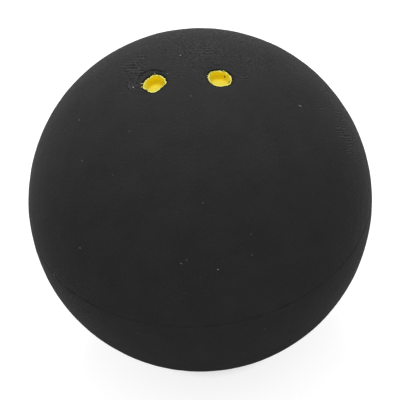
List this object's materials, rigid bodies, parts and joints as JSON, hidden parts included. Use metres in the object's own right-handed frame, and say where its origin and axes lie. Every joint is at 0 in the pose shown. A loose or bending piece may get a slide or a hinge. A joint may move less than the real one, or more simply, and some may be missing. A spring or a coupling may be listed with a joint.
{
  "type": "squash ball",
  "caption": "Hollow black rubber squash ball of bonded half shells, with a faint seam round its middle and sunk yellow dots beside the pole.",
  "frame": {"origin": "centre of the ball, in the plane of the seam", "axes": "+Z along the pole midway between the two dots, which is square to the seam plane; +X on the side of the right-hand dot, with both dots in the XZ plane; -Y towards the viewer who sees the dots side by side"},
  "size_m": [0.04, 0.04, 0.04],
  "materials": {
    "black_rubber": "matt, finely abraded",
    "cured_adhesive": "matt",
    "yellow_dot": "satin"
  },
  "bodies": {
    "root": {"dotted_half": "black_rubber", "plain_half": "black_rubber", "seam_bond": "cured_adhesive", "dot_left": "yellow_dot", "dot_right": "yellow_dot"}
  },
  "joints": []
}
